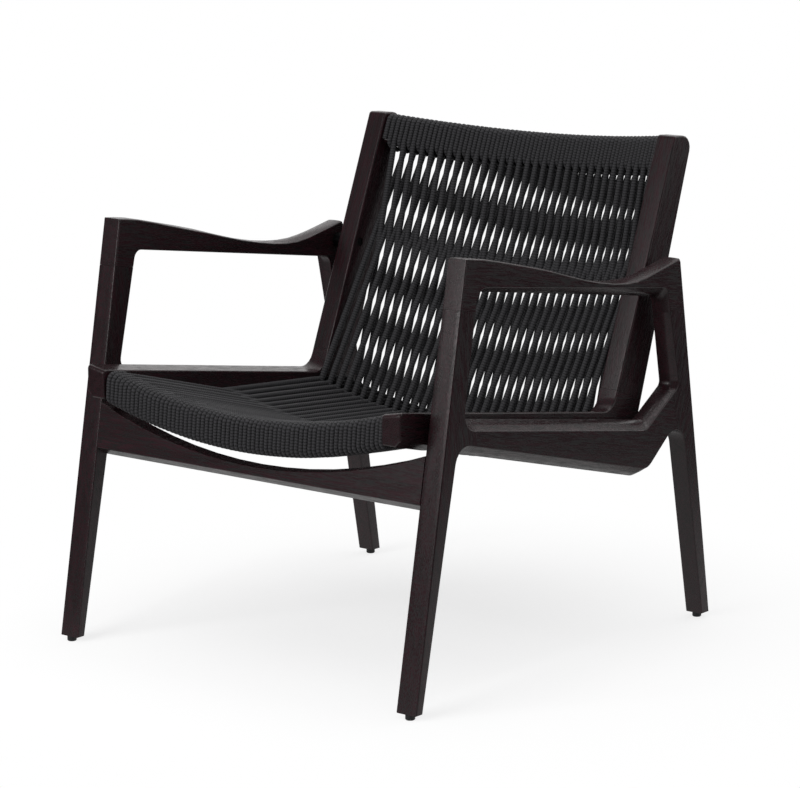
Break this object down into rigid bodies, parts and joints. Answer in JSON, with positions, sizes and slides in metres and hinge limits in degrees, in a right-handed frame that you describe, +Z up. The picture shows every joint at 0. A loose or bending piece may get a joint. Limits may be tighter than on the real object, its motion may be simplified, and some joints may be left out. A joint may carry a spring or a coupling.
{
  "type": "wooden armchair",
  "caption": "Low wooden lounge armchair with open arm frames, sagging woven cord seat and a raked cord back.",
  "frame": {"origin": "on the floor, at the middle of the chair's width and depth", "axes": "+Z up, the sitter faces -Y, +X is the chair's left-to-right across the seat"},
  "size_m": [0.685, 0.7594, 0.7406],
  "materials": {
    "wood": "very dark stained open-pored oak, satin",
    "cord": "black braided cord, matte",
    "glide": "black moulded plastic",
    "steel": "zinc plated",
    "spacer": "blackened"
  },
  "bodies": {
    "root": {"armrest_left": "wood", "armrest_right": "wood", "back_bolt_left": "steel", "back_bolt_right": "steel", "back_cord": "cord", "back_post_left": "wood", "back_post_right": "wood", "back_spacer_left": "spacer", "back_spacer_right": "spacer", "front_leg_left": "wood", "front_leg_right": "wood", "front_seat_rail": "wood", "front_stretcher": "wood", "glide_front_left": "glide", "glide_front_right": "glide", "glide_nail_front_left": "steel", "glide_nail_front_right": "steel", "glide_nail_rear_left": "steel", "glide_nail_rear_right": "steel", "glide_rear_left": "glide", "glide_rear_right": "glide", "lower_side_rail_left": "wood", "lower_side_rail_right": "wood", "rear_leg_left": "wood", "rear_leg_right": "wood", "rear_seat_rail": "wood", "seat_cord": "cord", "seat_front_bolt_left": "steel", "seat_front_bolt_right": "steel", "seat_front_spacer_left": "spacer", "seat_front_spacer_right": "spacer", "seat_rear_bolt_left": "steel", "seat_rear_bolt_right": "steel", "seat_rear_spacer_left": "spacer", "seat_rear_spacer_right": "spacer", "seat_side_rail_left": "wood", "seat_side_rail_right": "wood", "top_back_rail": "wood"}
  },
  "joints": []
}
